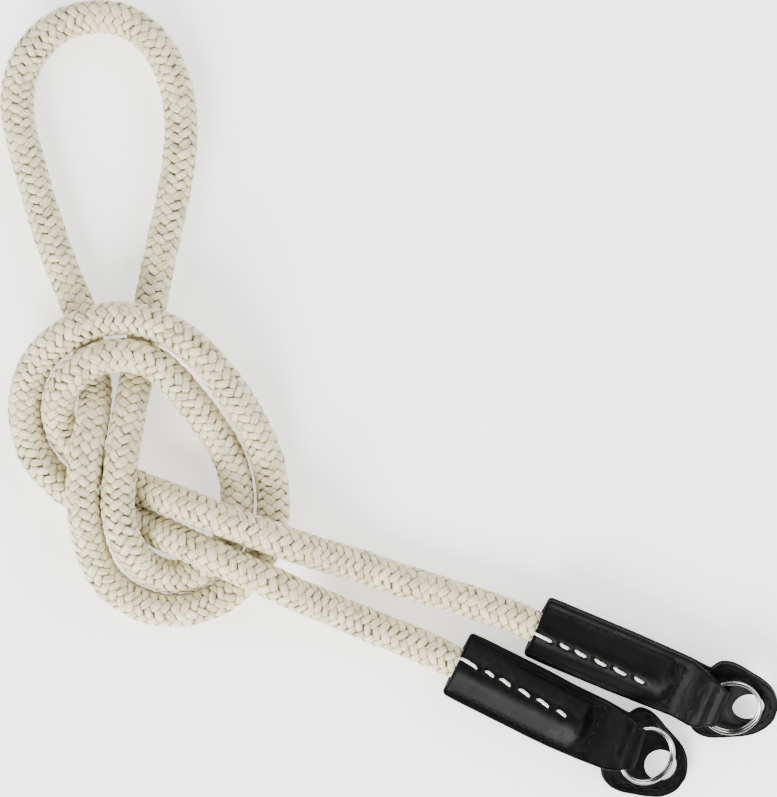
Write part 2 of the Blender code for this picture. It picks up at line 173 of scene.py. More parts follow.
finishes = {
    "braid": silkMaterial(
        "ivory silk braid",
        # the darkest stops of this ramp are reached by the leaves' painted shade
        ((0.0, (0.12, 0.095, 0.045)), (0.25, (0.33, 0.28, 0.145)), (0.5, (0.61, 0.552, 0.345)),
         (0.85, (0.80, 0.735, 0.50))),
        fibre=(0.3, 2.6, 1.0), roughness=0.55, sheen=0.12, filamentContrast=1.2),
    # painted shade: the core is a darker copy of the silk, seen only in the gaps between the leaves
    "core": silkMaterial(
        "shaded silk core", ((0.0, (0.10, 0.08, 0.045)), (1.0, (0.17, 0.14, 0.085))),
        fibre=(0.3, 6.0, 1.0), roughness=0.8, sheen=0.0),
    "lashing": silkMaterial(
        "waxed white thread",
        ((0.1, (0.52, 0.50, 0.41)), (0.5, (0.72, 0.70, 0.60)), (0.95, (0.84, 0.825, 0.74))),
        fibre=(1.2, 9.0, 1.0), roughness=0.55, sheen=0.1),
    "leather": leatherMaterial(
        "black calf leather", ((0.3, (0.0011, 0.0011, 0.0013)), (0.7, (0.0026, 0.0025, 0.0030))),
        roughness=(0.40, 0.60)),
    "stitches": leatherMaterial(
        "black polyester thread", ((0.3, (0.002, 0.002, 0.002)), (0.7, (0.005, 0.005, 0.005))),
        roughness=(0.45, 0.6), grain=0.3),
    "ring": ringMaterial("bright nickel", (0.33, 0.325, 0.31)),
}


# Meshes

def addMesh(name, points, faces, finish):
    mesh = bpy.data.meshes.new(name)
    mesh.from_pydata(np.reshape(points, (-1, 3)), [], faces)
    mesh.validate()
    mesh.shade_smooth()
    mesh.materials.append(finish)
    return addObject(name, mesh)


def carryMap(piece, faces, places):
    # where each corner of the faces lies along and across its leaf or thread, in mm
    layer = piece.data.uv_layers.new(name="leaf")
    layer.data.foreach_set("uv", places[faces.ravel()].ravel().astype(np.float32))


def carryValues(piece, name, values):
    layer = piece.data.attributes.new(name, "FLOAT", "POINT")
    layer.data.foreach_set("value", values.ravel().astype(np.float32))


def gridFaces(rows, columns, closed=False):
    i, j = np.meshgrid(np.arange(rows - 1), np.arange(columns if closed else columns - 1), indexing="ij")
    k = (j + 1) % columns
    here, there = i * columns, (i + 1) * columns
    return beside(here + j, there + j, there + k, here + k).reshape(-1, 4)


def smoothStep(x):
    x = np.clip(x, 0.0, 1.0)
    return x * x * (3 - 2 * x)


def rising(x, start, over):
    # 0 up to start and 1 from start + over on, in mm
    return smoothStep((x - start * mm) / (over * mm))


def falling(x, end, over):
    # 1 up to end - over and 0 from end on, in mm
    return smoothStep((end * mm - x) / (over * mm))


def groove(offset, width):
    return np.exp(-(offset / width) ** 2)


def bulge(x, depth, squareness, roundness):
    # 1 in the middle, and lower towards -1 and 1
    return (1 - depth * np.abs(x) ** squareness) ** roundness


def beside(*columns):
    return np.stack(columns, axis=-1)


def unit(vectors):
    return vectors / np.maximum(np.linalg.norm(vectors, axis=-1, keepdims=True), 1e-12)


def rotated(x, y, angle):
    return x * cos(angle) - y * sin(angle), x * sin(angle) + y * cos(angle)


def lengthAlong(points):
    return np.concatenate([[0.0], np.cumsum(np.linalg.norm(np.diff(points, axis=0), axis=1))])


def readAt(at, along, points):
    # a line of points, read at these lengths along it
    return beside(*(np.interp(at, along, column) for column in points.T))


# Each end: the middle of its mouth, heading clockwise from +X, bend of guard and of tab beyond the cross seam
# in degrees a metre, roll about its own length, height of the cord's axis, droop of the guard, the hole's
# middle, how far the ring has slid, the lashing's shift along and its places across at the start and near the
# end, how far the worn leather is drawn along at its tip and aside (in mm) on its way, how much painted sheen
# its facing has, how its creases lie, and a seed for its ripples.
ends = {
    "a": {"mouth": (-0.02005, 0.01910), "heading": 22.6, "bend": -320.0, "tabBend": -300.0, "roll": 22.0,
          "height": 6.75 * mm, "droop": 1.0 * mm, "hole": (60.9 * mm, 0.4 * mm),
          "ring": (-0.25 * mm, 0.25 * mm), "lashing": (-1.25 * mm, 0.4 * mm, -0.45 * mm),
          "tipAlong": -0.5 * mm,
          "aside": ((0, -0.05), (6, -0.15), (47, -0.2), (54, -0.3), (60, 0.3), (66, 0.85), (69, 1.1)),
          "facingWear": 0.42, "creaseShift": 0.0, "seed": 30},
    "b": {"mouth": (-0.04150, 0.00900), "heading": 25.8, "bend": 380.0, "tabBend": -560.0, "roll": 0.0,
          "height": 5.55 * mm, "droop": 3.5 * mm, "hole": (61.85 * mm, 0.3 * mm),
          "ring": (0.1 * mm, 0.72 * mm), "lashing": (-1.0 * mm, 1.85 * mm, 0.85 * mm), "tipAlong": 0.35 * mm,
          "aside": ((0, 0.05), (8, -0.05), (20, -0.2), (31, -0.45), (41, -0.2), (47, 0.1), (51, 0),
                    (54, -0.4), (57, -0.7), (60, -0.55), (64, -0.3), (69, -0.7)),
          "facingWear": 0.2, "creaseShift": 2.4, "seed": 50},
}
crossSeam = 41.0 * mm  # where the leathers are sewn together across, behind the cord's end
sleeve = {
    "channelRise": 0.4 * mm,  # the cord's axis above the plane where the leathers meet
    "channelRadius": 4.12 * mm,
    "backTighter": 0.22 * mm,  # how much less that is in the lower leather
    "leather": 1.3 * mm,
    "seam": 0.04 * mm,  # half the gap between the leathers
    "stitchLine": 7.0 * mm,  # where they begin to part, from the middle
    "channelEnd": 35.6 * mm,  # where the channel begins to close,
    "closed": 39.8 * mm,  # and where it is closed
    "notch": 47.3 * mm,
    "reliefEnd": 46.0 * mm,  # where the guard's and the tab's own relief begins
    "rippled": 0.035 * mm,
    "mouth": -0.55 * mm,
    "mouthCorner": 1.2 * mm,
    "halves": ((0, 9.15), (4, 9.3), (24, 9.3), (41, 8.9), (47.3, 8.2)),  # along and half the width, in mm
    "edge": 2.3 * mm,  # from the edge to the stitching
    # over the cord's end and at the mouth: height, middle and reach along, reach across
    "swellings": ((0.35 * mm, 34.6 * mm, 2.6 * mm, 4.0 * mm), (-0.3 * mm, 0.0, 3.0 * mm, 4.0 * mm)),
}
guard = {
    "swelling": (0.45 * mm, 48.9 * mm, 1.5 * mm),  # on the upper side: how far, middle and reach along
    "tip": 69.2 * mm,
    "halves": ((47.3, 8.2), (47.8, 9.0), (48.5, 9.85), (49.5, 10.7), (51.0, 11.4), (52.8, 11.65),
               (54.2, 11.5), (55.7, 11.15), (57.5, 10.55), (60.0, 9.7), (62.0, 9.0), (64.0, 8.05),
               (65.6, 7.0), (67.0, 5.6), (68.1, 4.0), (68.8, 2.5), (69.1, 1.3), (69.2, 0.0)),
    "holeRadius": 4.25 * mm,
    "facing": 1.1 * mm,
    "facingMiddle": 0.6 * mm,  # heights above the meeting plane, before the droop
    "facingTop": 1.15 * mm,
    "facingStart": 45.6 * mm,
    "facingInset": 0.6 * mm,
    "droopFrom": 46.0 * mm,
    "droopTo": 54.0 * mm,
    "edge": 2.1 * mm,  # from the edge to the stitching, which stops beside the hole
    "stitchesFromHole": 3.0 * mm,
    "rippled": 0.04 * mm,
}
ring = {
    "middle": 56.4 * mm,
    "radius": 7.55 * mm,
    "wireWidth": 1.0 * mm,
    "wireHeight": 0.8 * mm,
    "turnGap": 0.06 * mm,
    "corner": 0.39 * mm,
    "stagger": 0.26 * mm,  # how much further out the upper turn lies
    "under": 2.65 * mm,  # of the wire, above the meeting plane
    "clearance": 0.3 * mm,  # over the guard, at its far side
    "start": 210.0,  # degrees, as are the next three and the last
    "turns": 660.0,
    "riser": 60.0,
    "step": 2.5,
    "cutSize": 0.82,  # of the cut ends, from where the wire is eased to its full size
    "easing": 3.0,
}
tab = {
    "bend": (47.9 * mm, 2.35 * mm),
    "thickness": (1.25 * mm, 0.95 * mm),
    # in mm: along and half the width; then along and up, over the wire and back between it and the facing
    "halves": ((47.3, 8.2), (49.4, 7.4), (51, 6.6), (52.2, 6.1), (54, 5.6)),
    "path": ((42.6, 1.0), (44.2, 1.75), (45.8, 2.65), (47.0, 3.5), (48.0, 4.25), (48.9, 4.6), (49.8, 4.45),
             (50.6, 4.2), (51.4, 4.4), (52.2, 4.8), (52.95, 4.6), (53.45, 3.8), (53.45, 3.05), (52.95, 2.25),
             (51.9, 1.92), (50.0, 1.9), (48.4, 1.88), (47.0, 1.88)),
    "tuckedInset": 0.5 * mm,
    "lead": 1.5 * mm,  # how far before the cross seam it begins
    "ridge": (0.16 * mm, 1.1 * mm, 0.8),  # over the ring's wire: height, half-width, roundness
    "creased": 0.03 * mm,
    "rippled": 0.022 * mm,
}


def endPoints(end, u, v, w):
    # from along, aside and up in a sleeve to places over the table
    u, v, w = np.broadcast_arrays(*(np.asarray(x, dtype=float) for x in (u, v, w)))
    bend = radians(end["bend"])
    x, y = u, v
    if bend:
        past = u > crossSeam
        angle = bend * (u - crossSeam)
        x = np.where(past, crossSeam + (1 / bend + v) * np.sin(angle), u)
        y = np.where(past, -1 / bend + (1 / bend + v) * np.cos(angle), v)
    y, z = rotated(y, w - sleeve["channelRise"], radians(end["roll"]))
    x, y = rotated(x, y, -radians(end["heading"]))
    return beside(x + end["mouth"][0], y + end["mouth"][1], z + end["height"])


# Cord

cord = {
    "diameter": 9.0 * mm,
    "laidHeight": 4.6,  # mm, the centreline of a stretch on the table
    "step": 0.25 * mm,  # between the points of the centreline
    "inside": 38.0 * mm,  # held by each sleeve
    "coreShown": 12.0 * mm,  # how much of that is made here, of the core and of the braid
    "braidShown": 6.0 * mm,
    "coreStep": 1.5 * mm,
    "valley": 3.74 * mm,  # radius of the braid between its leaves
    "crown": 0.82 * mm,  # height of a leaf above that
    "carriers": 10,  # strands each way round
    "pitch": 2.77 * mm,  # along the cord, from leaf to leaf
    "leafHalf": 1.26 * mm,
    "leafSlant": 0.98 * mm,  # along the cord, from a leaf's middle to its column's edge
    "leafReach": 1.42,  # from its middle to its tip, as a share of that
    "leafPlump": (0.93, 3.2, 0.6),
    "leafSides": (1.0, 4.0, 0.6),
    "leafFlat": 0.25,  # share of its height that its sides keep
    "leafTuck": (0.3 * mm, 0.45 * mm),  # how far its tips and its sides dive in
    "uneven": (0.075, 0.08, 0.1, 0.13 * mm),  # its width, height, skew and tilt
    "tone": (-0.06, 0.06),  # of the leaves, and how it varies
    "pitTone": 0.68,  # painted shade: how much darker a leaf's ends and sides are, where they dip into the pits
    "wander": ((0.35, 0.071, 0.6), (0.22, 0.031, 2.0)),
    "mouthWidth": 0.90,  # the braid's width in a mouth, as a share of its free width
    "neck": 4.5 * mm,
    "pieces": 4,
    # across, along and lift above the table in mm, from mouth a to mouth b
    "route": (
        (-32.1, 23.8, 1), (-49.1, 29.1, 0), (-72.8, 37, 1.7), (-80.3, 39.5, 5.3), (-87.4, 42.2, 8.8),
        (-94, 44.5, 9.5), (-107.9, 49.6, 8.4), (-116.2, 52.7, 5.3), (-132.4, 58.9, 0), (-139.9, 63.5, 0),
        (-146.4, 69.2, 0.7), (-149.3, 75.9, 3.1), (-142.5, 88.7, 8.9), (-130.5, 92.3, 9.5),
        (-123.6, 90.4, 8.9), (-115.9, 83.5, 6.1), (-110, 75.7, 3.1), (-104.6, 67, 0.5), (-101.6, 58.1, 0),
        (-101.4, 50, 0), (-103.9, 41.6, 0), (-118.8, 32.6, 0.7), (-125.7, 35.5, 3.1), (-129.9, 41.5, 7.2),
        (-132, 48.3, 9.4), (-132.2, 57.1, 9.5), (-131.4, 64.3, 9.2), (-129.4, 79.5, 4.1),
        (-128.4, 86.2, 1.2), (-125.2, 103.8, 0), (-122.9, 115.5, 0), (-118.1, 138.2, 0),
        (-118.8, 168.2, 0), (-130.5, 182.3, 0), (-148.1, 182, 0), (-155.7, 176.1, 0), (-160.8, 159.9, 0),
        (-158.8, 148.8, 0), (-148, 114.5, 0), (-144.1, 104.7, 0), (-140.7, 90.8, 0), (-139.6, 83.7, 0.6),
        (-139.4, 77.7, 3.6), (-140.1, 71.2, 7.6), (-141.1, 64.2, 9.3), (-141.7, 57.1, 9.5),
        (-141.5, 49.9, 9.1), (-140.2, 41.8, 6.7), (-137.3, 33.8, 4.3), (-130.6, 27, 1.9),
        (-120.4, 23.5, 0.9), (-110.2, 24.8, 0.1), (-93.9, 40.2, 0), (-92.2, 60.5, 0.3), (-100.7, 80, 5.1),
        (-119.6, 99.2, 9.5), (-133.1, 102.1, 9.6), (-146.9, 97.2, 8.9), (-155.7, 88.2, 5.3),
        (-156.7, 68.4, 1.9), (-149.8, 58.4, 1.3), (-142.4, 53.2, 0.2), (-133.5, 49.4, 0),
        (-125.3, 46, 0.5), (-107.3, 38.7, 9.1), (-98.8, 34.9, 9.5), (-91.9, 31.7, 9.1), (-84, 27.7, 5.1),
        (-76.1, 24, 1.5), (-64.8, 19, 0), (-52.1, 14, 0.3),
    ),
}


def splineThrough(points, step):
    # a natural cubic spline, read every step
    points = np.array(points)
    at = lengthAlong(points)
    gap = np.diff(at)
    count = len(points)
    system = np.eye(count)
    right = np.zeros((count, 3))
    for i in range(1, count - 1):
        system[i, i - 1:i + 2] = gap[i - 1], 2 * (gap[i - 1] + gap[i]), gap[i]
        right[i] = 6 * ((points[i + 1] - points[i]) / gap[i] - (points[i] - points[i - 1]) / gap[i - 1])
    bent = np.linalg.solve(system, right)
    read = np.linspace(0.0, at[-1], int(at[-1] / step) + 2)
    i = np.clip(np.searchsorted(at, read, side="right") - 1, 0, count - 2)
    far = ((read - at[i]) / gap[i])[:, None]
    near = 1 - far
    line = near * points[i] + far * points[i + 1]
    return line + ((near ** 3 - near) * bent[i] + (far ** 3 - far) * bent[i + 1]) * (gap[i] ** 2)[:, None] / 6


def cordLine():
    held = np.array((1.0, 2 / 3, 1 / 3, 0.0)) * cord["inside"]
    points = list(endPoints(ends["a"], held, 0.0, sleeve["channelRise"]))
    points += [np.array((x, y, cord["laidHeight"] + lift)) * mm for x, y, lift in cord["route"]]
    points += list(endPoints(ends["b"], held[::-1], 0.0, sleeve["channelRise"]))
    line = splineThrough(points, cord["step"])
    line[:, 2] = np.maximum(line[:, 2], cord["laidHeight"] * mm)
    along = lengthAlong(line)
    even = np.linspace(0.0, along[-1], int(along[-1] / cord["step"]))
    return even, readAt(even, along, line)


def carriedFrames(line):
    # frames that turn as little as they can along the line (double reflection)
    ahead = unit(np.gradient(line, axis=0))
    side = np.zeros_like(line)
    first = np.cross(ahead[0], (0.0, 0.0, 1.0))
    side[0] = first / np.linalg.norm(first)
    for i in range(len(line) - 1):
        step = line[i + 1] - line[i]
        square = step @ step
        turnedSide = side[i] - step * (2 / square * (step @ side[i]))
        turnedAhead = ahead[i] - step * (2 / square * (step @ ahead[i]))
        miss = ahead[i + 1] - turnedAhead
        size = miss @ miss
        side[i + 1] = turnedSide - miss * (2 / size * (miss @ turnedSide)) if size > 1e-18 else turnedSide
    side = unit(side)
    return side, np.cross(ahead, side)


along, centre = cordLine()
side, above = carriedFrames(centre)
cordLength = along[-1]
# the braid narrows where it goes into a sleeve
toMouth = np.minimum(along, cordLength - along) - cord["inside"]
narrowing = cord["mouthWidth"] + (1 - cord["mouthWidth"]) * smoothStep(toMouth / cord["neck"] + 0.15)
# the lay of the braid turns a little one way and back, as it does on any worked cord
wander = sum(angle * np.sin(along / length + phase) for angle, length, phase in cord["wander"])
print("cord", round(cordLength, 4), "m")


def onCord(s, angle, radius):
    # points of the braid at these places along it, angles round it and distances from its middle
    middle, sideways, upward = (readAt(s, along, source) for source in (centre, side, above))
    radius = (radius * np.interp(s, along, narrowing))[..., None]
    angle = (angle + np.interp(s, along, wander))[..., None]
    return middle + radius * (np.cos(angle) * sideways + np.sin(angle) * upward)


def braidLeaves(name, start, end, finish):
    # A strand shows as a leaf where it runs over two others. Leaves stand in columns that slant left and
    # right by turns, and their ends dip under those of the next.
    columns = cord["carriers"]
    columnAngle = 2 * pi / columns
    centres, angles, slants = [], [], []
    for c in range(columns):
        shift = 0.0 if c % 2 == 0 else cord["pitch"] / 2
        first, last = (int(np.ceil((limit - shift) / cord["pitch"])) for limit in (start, end))
        at = shift + cord["pitch"] * np.arange(first, last)
        centres.append(at)
        angles.append(np.full(len(at), columnAngle * (c + 0.5)))
        slants.append(np.full(len(at), 1.0 if c % 2 == 0 else -1.0))
    centres, angles, slants = (np.concatenate(x)[:, None, None] for x in (centres, angles, slants))
    count = len(centres)
    draw = np.random.default_rng(int(start * 1e5) + 11)
    wider, higher, skew, tilt = (
        amount * draw.standard_normal((count, 1, 1)).clip(-2, 2) for amount in cord["uneven"])
    # a runs along the leaf from tip to tip, b across it
    tip = cord["leafReach"]
    a = tip * np.array((-1.0, -0.9, -0.74, -0.5, -0.2, 0.2, 0.5, 0.74, 0.9, 1.0))[None, :, None]
    b = np.array((-1.0, -0.88, -0.62, -0.22, 0.22, 0.62, 0.88, 1.0))[None, None, :]
    middleRadius = cord["valley"] + 0.6 * cord["crown"]
    reach = columnAngle / 2 * middleRadius
    slant = cord["leafSlant"]
    size = hypot(slant, reach)
    across = cord["leafHalf"] * (1 + wider) * bulge(a / tip, *cord["leafPlump"]) * b + skew * a * size
    # a leaf's ends are cut along the leaves that cross over them
    cut = a + slants * (reach ** 2 - slant ** 2) / (2 * reach * slant) * across / size
    s = centres + slant * cut - slants * reach / size * across
    angle = angles + slants * columnAngle / 2 * cut + slant / size * across / middleRadius
    lengthwise = np.cos(pi / 2 * (np.abs(a) / tip) ** 1.9)
    crosswise = bulge(b, *cord["leafSides"])
    raised = cord["leafFlat"] + (1 - cord["leafFlat"]) * crosswise
    radius = cord["valley"] + cord["crown"] * (1 + higher) * lengthwise * raised + tilt * b * lengthwise
    tipTuck, sideTuck = cord["leafTuck"]
    radius = radius - sideTuck * (np.abs(b) > 0.99) - tipTuck * (np.abs(a) > 0.99 * tip)
    rows, cols = a.shape[1], b.shape[2]
    faces = (gridFaces(rows, cols)[None] + (np.arange(count) * rows * cols)[:, None, None]).reshape(-1, 4)
    piece = addMesh(name, onCord(s, angle, radius), faces, finish)
    # the filaments' map is shifted from leaf to leaf
    shift = draw.uniform(0, 500, (count, 1, 1))
    leafMap = beside(*np.broadcast_arrays(shift + a * size / mm, shift * 0.37 + across / mm))
    carryMap(piece, faces, leafMap.reshape(-1, 2))
    leafTone = draw.normal(*cord["tone"], (count, 1, 1))
    # painted shade: each leaf darkens towards its ends and sides, where shade falls in the pits between
    # leaves
    carryValues(piece, "tone", leafTone - cord["pitTone"] * (1 - lengthwise * crosswise) ** 1.3)
    return piece


shownStart = cord["inside"] - cord["coreShown"]
core = bpy.data.curves.new("silk_core", "CURVE")
core.dimensions = "3D"
core.bevel_depth = cord["valley"] + 0.1 * mm
core.bevel_resolution = 6
core.use_fill_caps = True
coreAt = np.arange(shownStart, cordLength - shownStart, cord["coreStep"])
coreSpline = core.splines.new("POLY")
coreSpline.points.add(len(coreAt) - 1)
coreWidths = np.interp(coreAt, along, narrowing)
for place, point, width in zip(coreSpline.points, readAt(coreAt, along, centre), coreWidths):
    place.co = (*point, 1.0)
    place.radius = width
core.materials.append(finishes["core"])
silkCore = addObject("silk_core", core)

braidStart = cord["inside"] - cord["braidShown"]
cuts = np.linspace(braidStart, cordLength - braidStart, cord["pieces"] + 1)
braids = [braidLeaves("silk_braid_%d" % (k + 1), cuts[k], cuts[k + 1], finishes["braid"])
          for k in range(cord["pieces"])]
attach(silkCore, "root")
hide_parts("silk_cord")
for braid in braids:
    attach(braid, "root")
print("braid", sum(len(b.data.polygons) for b in braids), "quads")


# Leather

def tableAt(rows, x):
    # rows of a place along and the measure there, in mm
    return np.interp(x, *(np.array(rows).T * mm))


def sleeveHalf(u):
    corner = sleeve["mouthCorner"]
    short = np.maximum(corner - (u - sleeve["mouth"]), 0.0)
    rounding = corner - np.sqrt(np.maximum(corner ** 2 - short ** 2, 0.0))
    return tableAt(sleeve["halves"], u) - rounding


def guardHalf(u):
    # shoulders that spring from the notch, sides that taper, and a round tip
    rows = [(row[0] * mm, 0.0, row[1] * mm) for row in guard["halves"]]
    line = splineThrough(rows, 0.1 * mm)
    return np.interp(u, line[:, 0], np.maximum(line[:, 2], 0.0))


def lowerHalf(u):
    return np.where(u <= sleeve["notch"], sleeveHalf(u), guardHalf(u))


def channelTable(rise):
    # distance of a sleeve's middle surface from the meeting plane, across the sleeve
    step, halfSteps, blur = 0.05 * mm, 40, 0.45 * mm
    v = np.arange(0.0, 14 * mm, step)
    radius = sleeve["channelRadius"] - (sleeve["backTighter"] if rise < 0 else 0.0)
    foot = sleeve["stitchLine"]
    reach = hypot(foot, sleeve["seam"] - rise)
    touch = atan2(sleeve["seam"] - rise, foot) + acos(radius / reach)
    touchV, touchW = radius * cos(touch), rise + radius * sin(touch)
    arc = rise + np.sqrt(np.maximum(radius ** 2 - v ** 2, 0.0))
    slope = touchW + (sleeve["seam"] - touchW) * (v - touchV) / (foot - touchV)
    inner = np.where(v < touchV, arc, np.maximum(slope, sleeve["seam"]))
    both = np.concatenate([inner[:0:-1], inner])
    kernel = np.exp(-0.5 * (np.arange(-halfSteps, halfSteps + 1) * step / blur) ** 2)
    eased = np.convolve(np.pad(both, halfSteps, mode="edge"), kernel / kernel.sum(), mode="valid")
    eased = eased[len(inner) - 1:]
    return v, eased + sleeve["leather"] / 2 * np.sqrt(1 + np.gradient(eased, v) ** 2)


channelTables = {"top": channelTable(sleeve["channelRise"]), "back": channelTable(-sleeve["channelRise"])}


def sleeveHeight(u, v, which="top"):
    # the channel closes over the cord's end, where the leather swells a little first
    shut = smoothStep((u - sleeve["channelEnd"]) / (sleeve["closed"] - sleeve["channelEnd"]))
    flat = sleeve["seam"] + sleeve["leather"] / 2
    height = np.interp(np.abs(v) * (1 + 0.35 * shut), *channelTables[which]) - flat
    for high, middle, reach, wide in sleeve["swellings"]:
        height = height + high * groove(u - middle, reach) * groove(v, wide)
    return flat + height * (1 - shut)


def drooped(end, u):
    return end["droop"] * smoothStep((u - guard["droopFrom"]) / (guard["droopTo"] - guard["droopFrom"]))


def drawnAlong(end, u):
    return end["tipAlong"] * rising(u, 50, 16)


def drawnAside(end, u, v, w):
    # worn leather doesn't lie quite true, and on its upper side the guard swells out from under the tab
    far, middle, reach = guard["swelling"]
    aside = tableAt(end["aside"], u) + far * groove(u - middle, reach) * rising(v, 4, 3)
    return u + drawnAlong(end, u), v + aside, w


def tilted(end, u, w):
    # the tab and the ring lean down from the tab's bend onto the guard
    bendU, bendW = tab["bend"]
    rest = guard["facingTop"] - end["droop"] + ring["clearance"]
    tilt = atan2(ring["under"] - rest, ring["middle"] + ring["radius"] - bendU)
    past, du, dw = u > bendU, u - bendU, w - bendW
    return (np.where(past, bendU + du * cos(tilt) + dw * sin(tilt), u),
            np.where(past, bendW - du * sin(tilt) + dw * cos(tilt), w))


def tabPath(end):
    # length from the mouth along the tab, and the place along and up there
    flat = sleeve["seam"] + sleeve["leather"] / 2
    path = np.array(tab["path"]) * mm
    points = [(crossSeam - tab["lead"], 0.0, flat), (crossSeam, 0.0, flat)]
    points += [(u, 0.0, w) for u, w in zip(*tilted(end, path[:, 0], path[:, 1]))]
    line = splineThrough(points, 0.1 * mm)
    return lengthAlong(line) + crossSeam - tab["lead"], line[:, 0], line[:, 2]


def evenLoop(points, spacing):
    # a closed loop, sampled evenly
    closed = np.vstack([points, points[:1]])
    far = lengthAlong(closed)
    at = np.linspace(0.0, far[-1], max(int(far[-1] / spacing), 12), endpoint=False)
    return readAt(at, far, closed)


def turnedLeft(loop, isHole=False):
    # the loop, turned so that the leather lies on its left
    following = np.roll(loop, -1, axis=0)
    area = np.sum(loop[:, 0] * following[:, 1] - following[:, 0] * loop[:, 1])
    return loop[::-1] if (area > 0) == isHole else loop


def inward(loop, reach=1):
    # which way the leather lies from each point of a loop
    heading = unit(np.roll(loop, -reach, axis=0) - np.roll(loop, reach, axis=0))
    return beside(-heading[:, 1], heading[:, 0])


def insideLoop(points, loop):
    x, y = points[:, 0][:, None], points[:, 1][:, None]
    ax, ay = loop[:, 0][None], loop[:, 1][None]
    bx, by = np.roll(loop[:, 0], -1)[None], np.roll(loop[:, 1], -1)[None]
    crosses = ((ay > y) != (by > y)) & (x < (bx - ax) * (y - ay) / (by - ay + 1e-15) + ax)
    return crosses.sum(axis=1) % 2 == 1


def insideLeather(points, loops):
    # inside the outline, which comes first, and outside the holes
    inside = insideLoop(points, loops[0])
    for hole in loops[1:]:
        inside &= ~insideLoop(points, hole)
    return inside


def bothSides(half, start, end, steps):
    # an outline from its half-width along the leather
    u = start + (end - start) * (1 - np.cos(np.linspace(0, pi, steps))) / 2
    v = half(u)
    return np.concatenate([beside(u, v)[::-1], beside(u, -v)])


skin = {
    "spacing": 0.4 * mm,
    "edge": 0.42 * mm,  # how far in an edge is rounded
    "rows": (0.0, 0.05, 0.18, 0.42, 0.7, 1.0),  # of points there, as shares of that
    "roundness": 2.4,
    "lattice": (0.866, 0.55),  # from row to row and from the edge's rows, as shares of the spacing
    "waves": (9, 3.0, 9.0),  # how many make the ripples, and how long they are in mm
}


def edgeDistance(points, loops):
    nearest = np.full(len(points), 1.0)
    for loop in loops:
        for first in range(0, len(points), 2000):
            part = points[first:first + 2000]
            gaps = np.hypot(part[:, 0][:, None] - loop[:, 0][None], part[:, 1][:, None] - loop[:, 1][None])
            nearest[first:first + 2000] = np.minimum(nearest[first:first + 2000], gaps.min(axis=1))
    return nearest


def flatLeather(loops):
    # A flat mesh between these loops: rows of points along each edge and an even lattice inside. It gives the
    # points, their share of the full thickness, the quads and triangles, and the points on the very edge.
    spacing, edge, power = skin["spacing"], skin["edge"], skin["roundness"]
    share = np.array(skin["rows"])
    fullness = (1 - (1 - share) ** power) ** (1 / power)
    flat, full, quads, boundary, inner, used = [], [], [], [], [], 0
    for loop in loops:
        count = len(loop)
        for far, amount in zip(share, fullness):
            flat.append(loop + inward(loop) * far * edge)
            full.append(np.full(count, amount))
        quads.append(gridFaces(len(share), count, True) + used)
        boundary.append(np.arange(count) + used)
        inner.append((flat[-1], used + count * (len(share) - 1)))
        used += count * len(share)
    rowGap, edgeGap = skin["lattice"]
    low, high = loops[0].min(axis=0), loops[0].max(axis=0)
    xs = np.arange(low[0], high[0], spacing)
    ys = np.arange(low[1], high[1], spacing * rowGap)
    lattice = beside(*np.meshgrid(xs, ys, indexing="ij"))
    lattice[:, 1::2, 0] += spacing / 2
    lattice = lattice.reshape(-1, 2)
    lattice = lattice[insideLeather(lattice, loops)]
    lattice = lattice[edgeDistance(lattice, loops) > edge + edgeGap * spacing]
    seeds = np.concatenate([row for row, _ in inner] + [lattice])
    numbers = [np.arange(len(row)) + first for row, first in inner] + [np.arange(len(lattice)) + used]
    sides, first = [], 0
    for row, _ in inner:
        sides += [(first + i, first + (i + 1) % len(row)) for i in range(len(row))]
        first += len(row)
    drawn = delaunay_2d_cdt([Vector(p / mm) for p in seeds], sides, [], 0, 1e-7)
    triangles, origins = drawn[2:4]
    source = np.array([o[0] if o else -1 for o in origins])
    triangles = source[np.array([t for t in triangles if len(t) == 3])]
    triangles = triangles[(triangles >= 0).all(axis=1)]
    triangles = triangles[insideLeather(seeds[triangles].mean(axis=1), [row for row, _ in inner])]
    flat = np.concatenate(flat + [lattice])
    full = np.concatenate(full + [np.ones(len(lattice))])
    return flat, full, np.concatenate(quads), np.concatenate(numbers)[triangles], np.concatenate(boundary)


def outOfSheet(place, q, v, tiny):
    ahead = beside(*place(q + tiny, v)) - beside(*place(q - tiny, v))
    aside = beside(*place(q, v + tiny)) - beside(*place(q, v - tiny))
    return unit(np.cross(ahead, aside))


def leatherSheet(name, end, outline, place, thickness, relief, holes=(), rubbed=None):
    # A sheet is meshed flat, then laid on its middle surface and given its two skins. place(q, v) says where
    # a flat point lies, relief(q, v, distance from the edge) how far each skin is raised there.
    loops = [turnedLeft(evenLoop(outline, skin["spacing"]))]
    loops += [turnedLeft(evenLoop(hole, skin["spacing"]), True) for hole in holes]
    flat, full, quads, triangles, boundary = flatLeather(loops)
    q, v = flat[:, 0], flat[:, 1]
    base = beside(*place(q, v))
    normal = outOfSheet(place, q, v, 0.02 * mm)
    half = thickness(q) / 2 * full
    raisedTop, raisedUnder = relief(q, v, edgeDistance(flat, loops))
    top = base + normal * (half + raisedTop * full)[:, None]
    under = base - normal * (half + raisedUnder * full)[:, None]
    total = len(flat)
    # the outermost row of each loop is shared by the two skins
    lowered = np.arange(total) + total
    lowered[boundary] = boundary
    used = np.zeros(2 * total, dtype=bool)
    used[:total] = True
    used[lowered] = True
    renumber = np.cumsum(used) - 1
    faces = []
    for flatFaces in (quads, triangles):
        faces += renumber[flatFaces].tolist() + renumber[lowered[flatFaces]][:, ::-1].tolist()
    skins = np.concatenate([top, under])[used]
    points = endPoints(end, skins[:, 0], skins[:, 1], skins[:, 2])
    piece = addMesh(name, points, faces, finishes["leather"])
    # painted sheen, on the upper skin only
    if rubbed:
        carryValues(piece, "rubbed", np.concatenate([rubbed(q, v), np.zeros(total)])[used])
    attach(piece, "root")
    return piece


